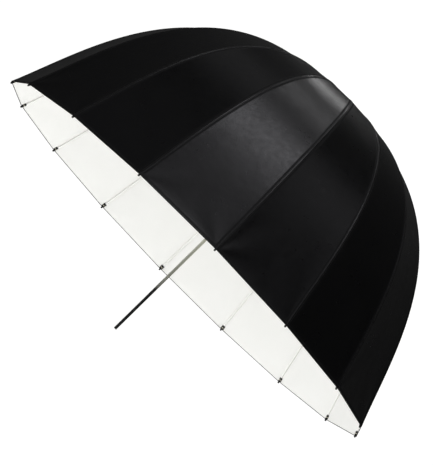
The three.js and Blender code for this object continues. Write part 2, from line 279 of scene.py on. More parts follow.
def turned(outline, sides, smooth=30.0, axis="y"):
    """A mesh turned about the shaft's axis from its outline, as pairs of radius and height. It is solid
    where the outline starts and ends on the axis, and otherwise a ring."""
    solid = outline[0][0] == 0 and outline[-1][0] == 0
    rings = outline[1:-1] if solid else outline
    angles = np.arange(sides) * 2 * pi / sides
    points = [(r * cos(a), y, r * sin(a)) for r, y in rings for a in angles]
    count = len(rings)
    faces = []
    for k in range(count - 1 if solid else count):
        for n in range(sides):
            here, far = k * sides, (k + 1) % count * sides
            after = (n + 1) % sides
            faces.append((here + n, far + n, far + after, here + after))
    if solid:
        points += [(0, outline[0][1], 0), (0, outline[-1][1], 0)]
        first, last = len(points) - 2, len(points) - 1
        top = (count - 1) * sides
        faces += [(first, n, (n + 1) % sides) for n in range(sides)]
        faces += [(last, top + (n + 1) % sides, top + n) for n in range(sides)]
    if axis == "z":
        points = [(x, -z, y) for x, y, z in points]
    if axis == "x":
        points = [(y, -x, z) for x, y, z in points]
    return mesh_of(points, faces, smooth)


def rounded(corners, radius, steps=4):
    """An outline with each inner corner rounded by an arc. The first and last corners stay as they are."""
    points = [Vector(p) for p in corners]
    made = [tuple(points[0])]
    for before, corner, after in zip(points, points[1:], points[2:]):
        back, on = (before - corner), (after - corner)
        reach = min(radius, back.length * 0.48, on.length * 0.48)
        start, end = corner + back.normalized() * reach, corner + on.normalized() * reach
        for k in range(steps + 1):
            t = k / steps
            made.append(tuple(start * (1 - t) ** 2 + corner * 2 * t * (1 - t) + end * t ** 2))
    return [*made, tuple(points[-1])]


def rounded_ring(corners, radius, steps):
    """A closed outline with each corner but the first rounded by an arc."""
    return rounded([*corners, corners[0]], radius, steps)[:-1]


tube = turned(rounded_ring([
    (bore_radius, shaft_low.y + 0.01),
    (bore_radius, shaft_low.y),
    (shaft_radius, shaft_low.y),
    (shaft_radius, shaft_high.y),
    (bore_radius, shaft_high.y),
], tube_edge, 2), 64)
shaft_finish = Finish("shaft_lacquer_and_steel", "shaft_steel")
shaft_place = shaft_finish.place()
shaft_y = shaft_finish.node("ShaderNodeSeparateXYZ", None, shaft_place, output="Y")
# Painted reflection: the steel's share is none at the free end and all of it towards the dish, so the free
# end is near black where the steel would mirror the dark room.
steel_share = shaft_finish.within(shaft_y, dark_reflection_end, dark_reflection_end + dark_reflection_fade)
stretched = shaft_finish.node("ShaderNodeMapping", Vector=shaft_place, Scale=(900, 14, 900))
drawn = shaft_finish.noise(1.0, 3, place=stretched)
steel = shaft_finish.mix(drawn, (0.40, 0.40, 0.34), (0.54, 0.54, 0.47))
painted_dark_reflection = shaft_finish.mix(drawn, (0.006, 0.006, 0.006), (0.012, 0.012, 0.012))
shaft_finish.set(Base_Color=shaft_finish.mix(steel_share, painted_dark_reflection, steel), Metallic=steel_share * 0.8)
shaft_finish.set(Roughness=shaft_finish.within(drawn + steel_share * 0.3, 0.2, 1.0, 0.30, 0.42))
shaft_finish.bump(drawn, 0.00002)
new_piece("shaft", tube, shaft_finish, "shaft", "shaft_tube")

# ---- Plug in the shaft's free end
# A small plug of moulded black plastic that closes the tube's free end. Its stem is pressed into the tube,
# and its rounded rim is as wide as the tube.
plug_low, plug_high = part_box("shaft_end_cap")
plug_rim = 0.004
plug_edge = 0.0009
plug_clearance = 0.0003
plug_radius = bore_radius - plug_clearance
plastic = Finish("black_plastic", "black_plastic", Specular_IOR_Level=0.35)
plastic.cloudy(40, 2, (0.007, 0.007, 0.0075), (0.014, 0.014, 0.0145), 0.34, 0.46)
plastic.bump(plastic.noise(900), 0.00003)
plug = turned(rounded([
    (0, plug_low.y),
    (shaft_radius, plug_low.y),
    (shaft_radius, plug_rim),
    (plug_radius, plug_rim),
    (plug_radius, plug_high.y),
    (0, plug_high.y),
], plug_edge), 48)
new_piece("shaft_plug", plug, plastic, "shaft", "shaft_end_cap")

# ---- Crown notch and runner
# The two slotted rings are moulded in black plastic, with broken edges round every slot. The crown's ring
# is pinned to the shaft, and the runner's ring slides on it.
edge_break = 0.00035


def with_modifier(mesh, kind, inputs=None, **settings):
    """The mesh with one modifier applied."""
    made = placed("work", mesh)
    modifier = made.modifiers.new("work", kind)
    for key, value in settings.items():
        setattr(modifier, key, value)
    for key, value in (inputs or {}).items():
        modifier[key] = value
    mesh = bpy.data.meshes.new_from_object(made.evaluated_get(bpy.context.evaluated_depsgraph_get()))
    bpy.data.objects.remove(made)
    return mesh


def broken_edges(mesh, width, least_angle):
    return with_modifier(mesh, "BEVEL", width=width, segments=2, limit_method="ANGLE",
                         angle_limit=radians(least_angle))


def moulded(node, width=edge_break):
    """A copy of a node's solid with its facets joined and its edges broken."""
    work = bmesh.new()
    work.from_mesh(frame["nodes"][node].data)
    bmesh.ops.remove_doubles(work, verts=work.verts, dist=1e-6)
    bmesh.ops.dissolve_limit(work, angle_limit=radians(0.5), verts=work.verts, edges=work.edges)
    mesh = bpy.data.meshes.new("mesh")
    work.to_mesh(mesh)
    work.free()
    return smooth_mesh(broken_edges(mesh, width, 35), 28)


new_piece("crown_notch_ring", moulded("crown_notch"), plastic, "shaft", "crown_notch")
new_piece("runner_ring", moulded("runner_body"), plastic, "runner", "runner_body")

# ---- Runner's sleeve
# The tube below the runner's ring, which slides on the shaft and is moulded in the same black plastic. The
# hand pulls it by its thicker end, which has turned grooves.
sleeve_low, sleeve_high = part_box("runner_sleeve")
sleeve_clearance = 0.0003
sleeve_bore = shaft_radius + sleeve_clearance
sleeve_chamfer = 0.0006
sleeve_end_chamfer = 0.0005
grip_radius = sleeve_high.x
grip_length = 0.012
sleeve_radius = 0.007
groove_count = 4
groove_depth = 0.0007
groove_start = 0.0022
groove_span = grip_length - 0.0062
grip_round = 0.003
grip_outline = []
for k in range(8 * groove_count + 1):
    t = k / (8 * groove_count)
    dip = groove_depth * (0.5 - 0.5 * cos(2 * pi * groove_count * t))
    grip_outline.append((grip_radius - dip, sleeve_low.y + groove_start + t * groove_span))
sleeve = turned([
    (sleeve_bore, sleeve_low.y + sleeve_chamfer),
    (sleeve_bore + sleeve_chamfer, sleeve_low.y),
    *rounded([(grip_radius - grip_round, sleeve_low.y), (grip_radius, sleeve_low.y), grip_outline[0]],
             0.0016)[:-1],
    *grip_outline,
    *rounded([grip_outline[-1], (grip_radius, sleeve_low.y + grip_length - grip_round),
              (sleeve_radius, sleeve_low.y + grip_length), (sleeve_radius, sleeve_high.y)], 0.0014)[1:-1],
    (sleeve_radius, sleeve_high.y - sleeve_end_chamfer),
    (sleeve_radius - sleeve_end_chamfer, sleeve_high.y),
    (sleeve_bore, sleeve_high.y),
], 64)
new_piece("runner_grip_sleeve", sleeve, plastic, "runner", "runner_sleeve")

# ---- Wire rings
# The ribs' eyes turn on one ring of bright steel wire at the crown, and the stretchers' eyes on another in
# the runner. Each ring lies in its notch and is swept along a circle.
wire_radius = 0.0007


class Growth:
    """A Geometry Nodes tree with named inputs, which grows a mesh along a path of edges."""

    def __init__(self, name, **inputs):
        self.tree = bpy.data.node_groups.new(name, "GeometryNodeTree")
        self.ids = {}
        for key, kind in {"Geometry": "Geometry", **inputs}.items():
            socket = self.tree.interface.new_socket(key, in_out="INPUT", socket_type="NodeSocket" + kind)
            self.ids[key] = socket.identifier
        self.tree.interface.new_socket("Geometry", in_out="OUTPUT", socket_type="NodeSocketGeometry")
        self.start = self.tree.nodes.new("NodeGroupInput")
        self.end = self.tree.nodes.new("NodeGroupOutput")

    def node(self, kind, settings=None, **sockets):
        """A new node. A text among its sockets is the name of one of the tree's inputs."""
        return add_node(self.tree, kind, settings, [
            (key, self.start.outputs[value] if isinstance(value, str) else value)
            for key, value in sockets.items()])

    def close(self, geometry):
        real = self.node("GeometryNodeRealizeInstances", Geometry=geometry)
        painted = self.node("GeometryNodeSetMaterial", Geometry=real.outputs[0], Material="Material")
        self.tree.links.new(painted.outputs[0], self.end.inputs[0])

    def along(self, points, finish, closed=False, **values):
        """The mesh that grows along a path."""
        edges = [(k, k + 1) for k in range(len(points) - 1)]
        if closed:
            edges.append((len(points) - 1, 0))
        guide = bpy.data.meshes.new("guide")
        guide.from_pydata([tuple(p) for p in points], edges, [])
        inputs = {self.ids[key]: value for key, value in (*values.items(), ("Material", finish.material))}
        return with_modifier(guide, "NODES", inputs, node_group=self.tree)


def circle(radius, height, count):
    """Points round the shaft."""
    return [(radius * cos(a), height, radius * sin(a)) for a in np.arange(count) * 2 * pi / count]


rod_growth = Growth("rod_along_a_path", Radius="Float", Sides="Int", Material="Material")
rod_path = rod_growth.node("GeometryNodeMeshToCurve", Mesh="Geometry")
rod_section = rod_growth.node("GeometryNodeCurvePrimitiveCircle", Resolution="Sides", Radius="Radius")
rod_sweep = rod_growth.node("GeometryNodeCurveToMesh", Curve=rod_path.outputs[0],
                            Profile_Curve=rod_section.outputs[0], Fill_Caps=True)
rod_growth.close(rod_sweep.outputs[0])

wire = Finish("bright_wire", "bright_wire", Metallic=1.0)
wire.cloudy(160, 3, (0.50, 0.49, 0.47), (0.66, 0.65, 0.63), 0.22, 0.38)

pivot_radius = Vector(frame["joints"][2]["pos_m"]).xz.length
for node, body in (("crown_wire", "shaft"), ("runner_wire", "runner")):
    low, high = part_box(node)
    ring = rod_growth.along(circle(pivot_radius, (low.y + high.y) / 2, 96), wire, True,
                            Radius=wire_radius, Sides=10)
    new_piece(node + "_ring", smooth_mesh(ring), wire, body, node)

# ---- Pins and catch
# A pin with rounded ends fixes the crown's ring, and another stops the runner. The catch is a sprung steel
# blade in a slot of the shaft.
pin_edge = 0.0006
catch_edge = 0.0002


def round_bar(radius, start, end, edge, sides, steps=4):
    """A solid round bar along X with rounded ends."""
    outline = [(0, start), (radius, start), (radius, end), (0, end)]
    return turned(rounded(outline, edge, steps), sides, axis="x")


for node in ("crown_pin", "stop_pin"):
    low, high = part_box(node)
    pin = round_bar((high.y - low.y) / 2, low.x, high.x, pin_edge, 32)
    pin.transform(Matrix.Translation((0, (low.y + high.y) / 2, 0)))
    new_piece(node + "_rod", pin, wire, "shaft", node)
new_piece("catch_blade", moulded("catch_spring", catch_edge), wire, "catch", "catch_spring")

# ---- Ribs
# Sixteen white glass-fibre rods, bent by the cloth. Each has a crimped steel eye at the crown, a black
# moulded joint for its stretcher and a black cover on its tip.
rib_count = 16
rim_y = 0.247
rim_radius = 0.625
crown_reach = 0.459
rim_reach = 0.203
rim_slope = radians(68)
rib_inset = 0.004
rib_radius = 0.00175
joint_reach = 0.235
joint_drop = 0.008

pivot_y = frame["joints"][2]["pos_m"][1]
out_of_rim = np.array([sin(rim_slope), cos(rim_slope)])
down_rim = np.array([cos(rim_slope), -sin(rim_slope)])
rib_end = np.array([rim_radius, rim_y]) - rib_inset * out_of_rim
rib_handles = np.array([
    (pivot_radius, pivot_y),
    (pivot_radius + crown_reach, pivot_y),
    rib_end - rim_reach * down_rim,
    rib_end,
])
fine = np.linspace(0, 1, 2001)[:, None]
fine_line = ((1 - fine) ** 3 * rib_handles[0] + 3 * (1 - fine) ** 2 * fine * rib_handles[1]
             + 3 * (1 - fine) * fine ** 2 * rib_handles[2] + fine ** 3 * rib_handles[3])
fine_length = np.concatenate([[0], np.cumsum(np.linalg.norm(np.diff(fine_line, axis=0), axis=1))])
rib_length = fine_length[-1]
fine_tangent = np.gradient(fine_line, fine_length, axis=0)
fine_tangent /= np.linalg.norm(fine_tangent, axis=1)[:, None]


def rib_line(s):
    """The rib's centre line and its direction, as radius and height, at a distance from its pivot. It goes
    on straight past its end."""
    s = np.asarray(s, float)
    inside = np.clip(s, 0, rib_length)
    point, direction = (np.stack([np.interp(inside, fine_length, line[:, k]) for k in (0, 1)], -1)
                        for line in (fine_line, fine_tangent))
    return point + (s - inside)[..., None] * direction, direction


def spin(number):
    """The turn that takes the first rib's pieces to a rib."""
    return Matrix.Rotation(-2 * pi * (int(number) - 1) / rib_count, 4, "Y")


def on_every_rib(name, mesh, finish, body, replaced=None, ending=""):
    """The first rib's finished mesh, copied to all ribs: the pieces by their ribs' numbers."""
    made = {}
    for number in (f"{n + 1:02d}" for n in range(rib_count)):
        copy = mesh.copy()
        copy.transform(spin(number))
        nodes = [f"{replaced}_{number}"] if replaced else []
        made[number] = new_piece(f"{name}_{number}{ending}", copy, finish, f"{body}_{number}", *nodes)
    return made


def joined(meshes, smooth=30.0):
    """Several meshes as one."""
    points, faces = [], []
    for mesh in meshes:
        start = len(points)
        points += [v.co[:] for v in mesh.vertices]
        faces += [tuple(start + v for v in p.vertices) for p in mesh.polygons]
    return mesh_of(points, faces, smooth)


def moved(mesh, place, turn_z=0.0):
    """The mesh turned about Z and then moved."""
    mesh.transform(Matrix.Translation((*place, 0)) @ Matrix.Rotation(turn_z, 4, "Z"))
    return mesh


def rounded_plate(outline, thickness, width=0.0003):
    """A flat plate in the plane of the rib, from its outline, with broken edges."""
    count = len(outline)
    points = [(x, y, z) for z in (-thickness / 2, thickness / 2) for x, y in outline]
    faces = [tuple(range(count))[::-1], tuple(range(count, 2 * count))]
    faces += [(k, (k + 1) % count, (k + 1) % count + count, k + count) for k in range(count)]
    return smooth_mesh(broken_edges(mesh_of(points, faces), width, 40))


def rib_rod(start, end, count, finish, radius, sides):
    """A rod along the first rib."""
    path = np.column_stack([rib_line(np.linspace(start, end, count))[0], np.zeros(count)])
    return smooth_mesh(rod_growth.along(path, finish, Radius=radius, Sides=sides))


def tongue(length, half_width):
    """The outline of a bar with one round end, from x = 0."""
    arc = [(length + half_width * sin(a), -half_width * cos(a)) for a in np.linspace(0, pi, 10)]
    return [(0, -half_width), *arc, (0, half_width)]


glass_fibre = Finish("white_glass_fibre", "rib_fibreglass", Specular_IOR_Level=0.5)
glass_fibre.cloudy(60, 3, (0.93, 0.93, 0.90), (0.97, 0.97, 0.95), 0.32, 0.46)
glass_fibre.bump(glass_fibre.noise(700), 0.00002)

rod_start = 0.016
rod_end_gap = 0.004
rod = rib_rod(rod_start, rib_length - rod_end_gap, 121, glass_fibre, rib_radius, 14)
on_every_rib("rib_rod", rod, glass_fibre, "rib_arm", "rib")

# The crimped steel eye that turns on the crown's wire.
eye_bore = 0.0011
eye_radius = 0.0026
eye_edge = 0.0004
rib_eye_half = 0.00165
crimp_radius = 0.0020
crimp_start = 0.0016
crimp_end = 0.026


def eye_ring(half):
    section = [(eye_bore, 0), (eye_bore, -half), (eye_radius, -half), (eye_radius, half), (eye_bore, half)]
    return turned(rounded_ring(section, eye_edge, 2), 24, axis="z")


crimp = rib_rod(crimp_start, crimp_end, 12, wire, crimp_radius, 20)
rib_eye = joined([moved(eye_ring(rib_eye_half), (pivot_radius, pivot_y)), crimp])
on_every_rib("rib_eye", rib_eye, wire, "rib_arm")

# The black moulded joint that clips on the rod and carries the stretcher's rivet.
saddle_radius = 0.0029
saddle_half_length = 0.008
saddle_edge = 0.0008
lug_half_width = 0.0019
lug_end = 0.003
joint_point, joint_direction = rib_line(joint_reach)
joint_turn = atan2(joint_direction[1], joint_direction[0])
joint_inward = np.array([joint_direction[1], -joint_direction[0]])
joint_centre = joint_point + joint_drop * joint_inward
saddle = round_bar(saddle_radius, -saddle_half_length, saddle_half_length, saddle_edge, 24, 3)
lug = rounded_plate(tongue(joint_drop, lug_end), 2 * lug_half_width)
rib_joint = joined([moved(saddle, joint_point, joint_turn), moved(lug, joint_point, joint_turn - pi / 2)])
on_every_rib("rib_joint", rib_joint, plastic, "rib_arm")

# The black cover on the tip, with a neck that the cloth's thread is tied round.
tip_radius = 0.0025
tip_length = 0.014
tip_proud = 0.0040
tip_edge = 0.0006
neck_place = -0.0055
neck_half = 0.0006
neck_radius = tip_radius * 0.78
tip_cover = turned(rounded([
    (0, -tip_length), (tip_radius * 0.86, -tip_length), (tip_radius, -tip_length + 0.002),
    (tip_radius, neck_place - 2 * neck_half), (neck_radius, neck_place - neck_half),
    (neck_radius, neck_place + neck_half), (tip_radius, neck_place + 2 * neck_half),
    (tip_radius, tip_proud - 0.0016), (tip_radius * 0.6, tip_proud), (0, tip_proud),
], tip_edge, 3), 24, axis="x")
on_every_rib("tip_cover", moved(tip_cover, rib_end, -rim_slope), plastic, "rib_arm")

# ---- Stretchers
# Sixteen thin zinc-plated steel rods from the runner to the ribs' joints. Each has an eye on the runner's
# wire and a bent steel fork, which is riveted over the joint's lug.
stretcher_radius = 0.0015
stretcher_eye_half = 0.0014
fork_length = 0.024
fork_ear = 0.0012
fork_inner = 0.0023
fork_bridge = 0.005
fork_edge = 0.0002
bridge_edge = 0.0006
rivet_radius = 0.002
rivet_height = 0.001
runner_pivot = np.array([pivot_radius, frame["joints"][3]["pos_m"][1]])
stretcher_line = joint_centre - runner_pivot
stretcher_length = float(np.linalg.norm(stretcher_line))
stretcher_turn = atan2(stretcher_line[1], stretcher_line[0])

zinc = Finish("zinc_plated_steel", "stretcher_steel", Metallic=1.0)
zinc.cloudy(35, 4, (0.42, 0.42, 0.41), (0.60, 0.60, 0.58), 0.26, 0.42)
zinc.bump(zinc.noise(500), 0.00001)

fork_start = stretcher_length - fork_length - fork_bridge
arm_in_eye = 0.0005
arm_in_fork = 0.004
arm = round_bar(stretcher_radius, eye_radius - arm_in_eye, fork_start + arm_in_fork, 0.0003, 20, 2)
stretcher_rod = moved(joined([arm, eye_ring(stretcher_eye_half)]), runner_pivot, stretcher_turn)
on_every_rib("stretcher_rod", stretcher_rod, zinc, "stretcher_arm", "stretcher")

# The fork: two ears and the bridge that joins them round the rod's end.
fork_pieces = []
for side in (-1, 1):
    ear = rounded_plate(tongue(fork_length + fork_bridge / 2, lug_end), fork_ear, fork_edge)
    ear.transform(Matrix.Translation((fork_start + fork_bridge / 2, 0, side * (fork_inner + fork_ear / 2))))
    fork_pieces.append(ear)
bridge_half = fork_inner + fork_ear
bridge_proud = 0.00015
bridge_high = lug_end + bridge_proud
bridge_end = fork_start + fork_bridge
bridge_outline = [(fork_start, -bridge_high), (bridge_end, -bridge_high), (bridge_end, bridge_high),
                  (fork_start, bridge_high)]
fork_pieces.append(rounded_plate(bridge_outline, 2 * (bridge_half + bridge_proud), bridge_edge))
fork = moved(joined(fork_pieces), runner_pivot, stretcher_turn)
on_every_rib("stretcher_fork", fork, zinc, "stretcher_arm")

# The rivet's two domed heads.
rivet_sunk = 0.0002


def dome(radius, base, top, steps):
    """The outline of a quarter of an ellipse, up to its end on the axis."""
    return [(radius * cos(a), base + (top - base) * sin(a)) for a in np.linspace(0, pi / 2, steps)[:-1]]


head_outline = [(0, -rivet_sunk), (rivet_radius, -rivet_sunk), *dome(rivet_radius, 0, rivet_height, 6),
                (0, rivet_height)]
heads = []
for side in (-1, 1):
    head = turned(head_outline, 20, axis="z")
    if side < 0:
        head.transform(Matrix.Rotation(pi, 4, "X"))
    head.transform(Matrix.Translation((*joint_centre, side * bridge_half)))
    heads.append(head)
on_every_rib("stretcher_rivet", joined(heads), wire, "stretcher_arm")

# ---- Cover: the black cloth
# One sewn cover of sixteen gores, stretched over the ribs: black woven cloth outside. It is made in strips,
# on each side of each rib out to the middle of the gore, and each strip in bands from the crown to the rim.
# A strip turns with its rib.
letters = {-1: "b", 1: "a"}
half_gore = pi / rib_count
gore_sin, gore_cos = sin(half_gore), cos(half_gore)
cloth_thickness = 0.00045
gore_sag = 0.0028
cloth_columns = 20
closer_at_rib = 1.35
cloth_rows = 130
least_rows = 14
band_shares = (0.0, 0.055, 0.25, 0.455, 0.64, 0.79, 0.90, 1.0)
valley_tilt = 0.60
tilt_limit = 0.6
draw_start = 0.025
lap = 1.01
tongue_length = 0.008
tongue_gap = 0.0003
tongue_thickness = 0.00009
tongue_clearance = 0.00002
tip_fold_depth = 0.0012
tip_fold_reach = 0.075
tip_fold_count = 3.0
tip_fold_start = 0.01
pucker_start = 0.004
pucker_depth = 0.00022
pucker_length = 0.024
pucker_reach = 0.012


def ridge(s):
    """The cover's outside over a rib, as radius and height, and its direction and outward direction, at a
    distance along the rib."""
    point, direction = rib_line(s)
    outward_from_rib = np.stack([-direction[..., 1], direction[..., 0]], -1)
    return point + rib_inset * outward_from_rib, direction, outward_from_rib


def gore_half_width(s):
    """Half of a gore's width, at a distance along the rib."""
    return ridge(s)[0][..., 0] * gore_sin


def cover(s, across, lift, folds=True):
    """Points of the cover over the first rib. s is the distance along the rib, across the distance from the
    rib along the cloth, and lift the height above the cloth's outside."""
    s, across, lift = np.broadcast_arrays(*(np.asarray(each, float) for each in (s, across, lift)))
    line, direction, over_rib = ridge(s)
    radius, height = line[..., 0], line[..., 1]
    side = np.sign(across)
    away = np.abs(across)
    width = radius * gore_sin
    share = np.clip(away / width, 0, 1)
    along_rib = np.clip(s / rib_length, 0, 1)
    taut = 2.6 * along_rib ** 2 * (1 - along_rib) ** 0.5
    raised = lift - gore_sag * taut * share * (2 - share)
    if folds:
        to_rim = np.maximum(rib_length - s, 0)
        from_tip = np.hypot(to_rim, away)
        fan = np.arctan2(to_rim, away + 1e-6)
        reach = from_tip / tip_fold_reach
        fold = np.sin(2 * tip_fold_count * fan) * reach * np.exp(1 - reach)
        crease = tip_fold_depth * 0.5 * fold * np.clip(away / tip_fold_start, 0, 1)
        raised = raised - crease * (1 - share) ** 0.5
        ripple = np.sin(2 * pi * s / pucker_length) * np.exp(-away / pucker_reach)
        raised = raised + pucker_depth * ripple * np.clip(away / pucker_start, 0, 1)
    flat = np.stack([-direction[..., 1], direction[..., 0] * gore_cos], -1)
    flat = flat / np.linalg.norm(flat, axis=-1)[..., None]
    on_ridge = away < 1e-7
    spread_x = np.where(on_ridge, over_rib[..., 0], flat[..., 0] * gore_cos)
    spread_y = np.where(on_ridge, over_rib[..., 1], flat[..., 1])
    spread_z = np.where(on_ridge, 0, flat[..., 0] * gore_sin * side)
    x = radius - away * gore_sin + raised * spread_x
    y = height + raised * spread_y
    z = side * away * gore_cos + raised * spread_z
    return np.stack([x, y, z], -1)


def grid_normals(grid):
    """The outward directions of a grid of points with rows from crown to rim and columns across."""
    rows = np.gradient(grid, axis=0)
    columns = np.gradient(grid, axis=1)
    normal = np.cross(columns, rows)
    for column, side in ((0, -1), (-1, 1)):
        across_middle = np.array([-gore_sin, 0, side * gore_cos])
        normal[:, column] -= np.outer(normal[:, column] @ across_middle, across_middle)
    return normal / np.linalg.norm(normal, axis=-1)[..., None]


def sheet_mesh(outer, inner, outer_normals, inner_normals, uv):
    """A closed sheet between an outer and an inner grid, with the grids' own normals."""
    rows, columns = outer.shape[:2]
    count = rows * columns
    index = np.arange(count).reshape(rows, columns)
    a, b, c, d = index[:-1, :-1], index[:-1, 1:], index[1:, 1:], index[1:, :-1]
    top = np.stack([a, b, c, d], -1).reshape(-1, 4)
    bottom = np.stack([a, d, c, b], -1).reshape(-1, 4) + count
    border = np.concatenate([index[0, :], index[1:, -1], index[-1, -2::-1], index[-2:0:-1, 0]])
    after = np.roll(border, -1)
    walls = np.stack([border, border + count, after + count, after], -1)
    faces = np.concatenate([top, bottom, walls])
    mesh = bpy.data.meshes.new("mesh")
    points = np.concatenate([outer.reshape(-1, 3), inner.reshape(-1, 3)])
    mesh.from_pydata(points.tolist(), [], faces.tolist())
    loops = faces.reshape(-1)
    flat_uv = np.tile(uv.reshape(-1, 2), (2, 1))
    layer = mesh.uv_layers.new(name="cloth")
    layer.data.foreach_set("uv", flat_uv[loops].astype(np.float32).ravel())
    normals = np.concatenate([outer_normals.reshape(-1, 3), -inner_normals.reshape(-1, 3)])[loops]
    wall_start = 4 * (len(top) + len(bottom))
    mesh.polygons.foreach_set("use_smooth", [True] * len(faces))
    wall_normals = np.array([p.normal[:] for p in mesh.polygons[len(top) + len(bottom):]])
    normals[wall_start:] = np.repeat(wall_normals, 4, axis=0)
    mesh.normals_split_custom_set(normals.tolist())
    return mesh


# Once the ribs are folded, a point is as far out from its rib's pivot as it lay along this direction.
rib_fold = radians(frame["joints"][2]["range_deg"][1])
fold_turn = np.array([cos(rib_fold), sin(rib_fold), 0.0])
rib_pivot = np.array([pivot_radius, pivot_y, 0.0])


def mid_gore(s):
    """The line in the middle of a gore, at a distance along the rib."""
    line = ridge(s)[0]
    radius = line[..., 0] * gore_cos
    return np.stack([radius * gore_cos, line[..., 1], radius * gore_sin], -1)


def draw_in(start, end, tilt):
    """How a band draws in as its rib folds, tilted from straight across the rib: the direction, a point that
    stays, and the share that is lost, which leaves just enough for neighbouring strips to meet."""
    first, last = ridge(start)[0], ridge(end)[0]
    along = (last - first) / np.linalg.norm(last - first)
    up = np.array([-along[1], along[0]])
    axis = np.array([*(sin(tilt) * up), cos(tilt)])
    spots = np.linspace(max(start, draw_start), end, 40)
    anchor = np.array([*(first + up * ((ridge(spots)[0] - first) @ up).max() / 2), 0.0])
    edge = mid_gore(spots)
    meeting = lap * tan(half_gore)
    room = edge[:, 2] - meeting * (pivot_radius + (edge - rib_pivot) @ fold_turn)
    gain = ((edge - anchor) @ axis) * (axis[2] - meeting * (axis @ fold_turn))
    return axis, anchor, float((room / gain).min())


def folded_slope(s, drawn):
    """The slope of a gore beside its rib once it has drawn in."""
    line, _, over_rib = ridge(s)
    axis, _, lost = drawn
    away = mid_gore(s) - np.array([*line, 0.0])
    away = away - lost * (away @ axis) * axis
    return float(away[:2] @ over_rib / away[2])


# The short first band is worked out to draw in straight across. The second is tilted enough for the gores to
# fold into valleys, and each other band has the tilt that lets it go on at the slope of the one before it.
band_ends = [share * float(rib_length) for share in band_shares]
draws = [draw_in(band_ends[0], band_ends[1], 0.0), draw_in(band_ends[1], band_ends[2], valley_tilt)]
for start, end in zip(band_ends[2:], band_ends[3:]):
    slope = folded_slope(start, draws[-1])
    low, high = -tilt_limit, tilt_limit
    for _ in range(40):
        tilt = (low + high) / 2
        if folded_slope(start, draw_in(start, end, tilt)) > slope:
            low = tilt
        else:
            high = tilt
    draws.append(draw_in(start, end, tilt))


def draw_with_band(piece, side):
    """Gives a piece its own copy of its mesh."""
    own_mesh(piece)


def hang_bands(name, finish, top_lift, bottom_lift, tongue_lift, columns, thinning, replaced=None):
    """The bands of one layer of the cover on both sides of every rib. Each band reaches a little under the
    one before it."""
    half_shares = np.linspace(0, 1, columns // 2 + 1) ** closer_at_rib
    shares = np.concatenate([-half_shares[:0:-1], half_shares])
    stations = []
    for start, end in zip(band_ends, band_ends[1:]):
        rows = max(least_rows, int(cloth_rows * (end - start) / rib_length))
        stations.append(np.linspace(start, end, rows // thinning + 1))
    whole = np.concatenate([stations[0], *(part[1:] for part in stations[1:])])

    def layer(spots, top, bottom):
        away = gore_half_width(spots)[:, None] * shares[None, :]
        outer, inner = cover(spots[:, None], away, top), cover(spots[:, None], away, bottom)
        uv = np.stack([away, np.broadcast_to(spots[:, None], away.shape)], -1)
        return [outer, inner, grid_normals(outer), grid_normals(inner), uv]

    sewn = layer(whole, top_lift, bottom_lift)
    first = 0
    last_band = {}
    for band, part in enumerate(stations):
        grids = [grid[first:first + len(part)] for grid in sewn]
        first += len(part) - 1
        if band:
            tongue = part[0] - np.array([tongue_length, tongue_length / 2, tongue_gap])
            under = layer(tongue, tongue_lift, tongue_lift - tongue_thickness)
            grids = [np.concatenate(pair) for pair in zip(under, grids)]
            part = np.concatenate([tongue, part])
        across = gore_half_width(part)
        for side, half in ((-1, slice(0, columns // 2 + 1)), (1, slice(columns // 2, None))):
            mesh = sheet_mesh(*(grid[:, half] for grid in grids))
            stood_for = replaced if band == 0 and side < 0 else None
            pieces = on_every_rib(name, mesh, finish, "rib_arm", stood_for, f"{letters[side]}_{band + 1}")
            for number, piece in pieces.items():
                draw_with_band(piece, side)
                facts = {"flat": (float(across.max()), float(part[-1] - part[0])),
                         "area": float(np.trapz(across, part)), "held": "stretched",
                         "rests_on": [f"rib_rod_{number}"]}
                if replaced and part[-1] == whole[-1]:
                    last_band[number, side] = piece, facts
    return last_band


cloth = Finish("black_woven_cloth", "black_cloth", Specular_IOR_Level=0.22,
               Specular_Tint=(0.95, 0.94, 1.0, 1.0))
cloth_u, cloth_v = cloth.cloth_map()
cloth_weave = cloth.weave(cloth_u, cloth_v)
cloth_cloud = cloth.noise(14, 4, 0.6)
cloth_soft = cloth.noise(5, 2)
cloth_mottle = cloth.noise(45, 1.5, 0.5)
cloth_grain = cloth.noise(75, 1, 0.5)
from_ridge = cloth_u.math("ABSOLUTE", cloth_u)
ridge_highlight_share = cloth.within(from_ridge, 0.0, 0.012, 1.0, 0.0)
seam_shade = cloth.within(from_ridge, 0.0036, 0.0046) * cloth.within(from_ridge, 0.0065, 0.0095, 1.0, 0.0)
cloth_base = cloth.mix(cloth_cloud, (0.0008, 0.0008, 0.0009), (0.0017, 0.0017, 0.0018))
cloth_rough = cloth.within(cloth_cloud * 0.5 + cloth_grain * 0.5, 0.34, 0.66, 0.27, 0.35)
# Painted highlight: the base colour is lighter within 12 mm of each rib's ridge, for the light line along
# every seam.
cloth.set(Base_Color=cloth.mix(ridge_highlight_share * 0.5, cloth_base, (0.004, 0.004, 0.004)),
          Roughness=cloth_rough + seam_shade * 0.4)
cloth_relief = cloth_weave * 0.000014 + cloth_mottle * 0.0004 + cloth_cloud * 0.0006 + cloth_soft * 0.002
cloth.bump(cloth_relief, 1.0, 0.5)
rim_bands = hang_bands("black_cover", cloth, 0.0, -cloth_thickness, -cloth_thickness - tongue_clearance,
                       2 * cloth_columns, 1, "canopy_strip")

